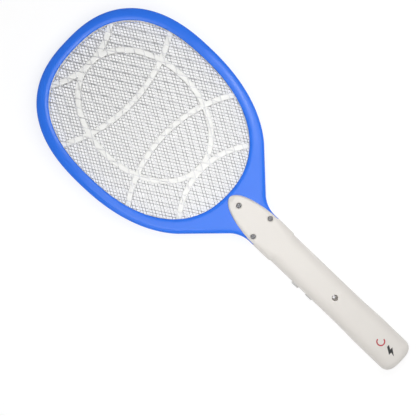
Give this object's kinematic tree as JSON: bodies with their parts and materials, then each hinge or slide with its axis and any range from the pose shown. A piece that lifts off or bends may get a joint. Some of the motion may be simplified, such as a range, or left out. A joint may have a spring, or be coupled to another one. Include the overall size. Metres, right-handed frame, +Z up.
{
  "type": "electric fly swatter",
  "caption": "Racket-shaped electric fly swatter: blue head frame with layered wire meshes and white ribs, cream handle with slide switch, push button and retracting plug.",
  "frame": {"origin": "on the surface that the swatter lies on, below the centre of its bounding box", "axes": "+Y from the handle to the top of the head, +X to the right seen from above with the screw side up, +Z up"},
  "size_m": [0.196, 0.48, 0.028],
  "materials": {
    "blue_shell": "glossy injection-moulded plastic, clear blue",
    "cream_shell": "fine satin injection-moulded plastic, warm off-white",
    "white_frame": "satin white plastic",
    "mesh_wire": "bright drawn wire, welded diamond mesh",
    "screw_steel": "zinc-plated steel screw with a cross recess",
    "grey_knob": "light grey plastic",
    "black_plastic": "black plastic",
    "board_green": "green circuit board with solder mask",
    "copper_winding": "enamelled copper winding",
    "ferrite_core": "dark ferrite",
    "film_capacitor": "dipped film capacitor, dark red",
    "resistor_beige": "lacquered resistor body",
    "lamp_red": "clear red lamp",
    "battery_lead": "lead plates of the battery",
    "terminal_brass": "brass tab",
    "pin_plated": "nickel-plated round pin",
    "lead_red": "red wire insulation",
    "lead_black": "black wire insulation"
  },
  "bodies": {
    "racket": {"battery_case": "black_plastic", "battery_lead_minus": "lead_black", "battery_lead_plus": "lead_red", "battery_lid": "grey_knob", "battery_plates": "battery_lead", "battery_terminal_left": "terminal_brass", "battery_terminal_right": "terminal_brass", "circuit_board": "board_green", "diode_1": "black_plastic", "diode_2": "black_plastic", "diode_3": "black_plastic", "grip_screw": "screw_steel", "guard_lead": "lead_black", "guard_mesh_front": "mesh_wire", "guard_mesh_rear": "mesh_wire", "handle_cover_front": "cream_shell", "handle_cover_rear": "cream_shell", "head_frame_front": "blue_shell", "head_frame_rear": "blue_shell", "indicator_lamp": "lamp_red", "live_lead": "lead_red", "live_mesh": "mesh_wire", "multiplier_capacitor_1": "film_capacitor", "multiplier_capacitor_2": "film_capacitor", "multiplier_capacitor_3": "film_capacitor", "neck_screw_1": "screw_steel", "neck_screw_2": "screw_steel", "neck_screw_3": "screw_steel", "push_switch_body": "black_plastic", "resistor_1": "resistor_beige", "resistor_2": "resistor_beige", "slide_switch_body": "black_plastic", "spacer_frame_front": "white_frame", "spacer_frame_rear": "white_frame", "storage_capacitor": "film_capacitor", "transformer_core": "ferrite_core", "transformer_winding": "copper_winding", "transistor": "black_plastic"},
    "power_switch": {"slide_switch_knob": "grey_knob"},
    "zap_button": {"push_button": "grey_knob", "push_switch_plunger": "grey_knob"},
    "plug": {"plug_carriage": "black_plastic", "plug_pin_left": "pin_plated", "plug_pin_right": "pin_plated", "plug_slider": "grey_knob"}
  },
  "joints": [
    {"name": "power_slide", "type": "slide", "parent": "racket", "child": "power_switch", "axis": [0, 1, 0], "range_m": [0, 0.004]},
    {"name": "button_press", "type": "slide", "parent": "racket", "child": "zap_button", "axis": [1, 0, 0], "range_m": [0, 0.0008], "stiffness_N_per_m": 400},
    {"name": "plug_extend", "type": "slide", "parent": "racket", "child": "plug", "axis": [0, -1, 0], "range_m": [0, 0.0165]}
  ]
}
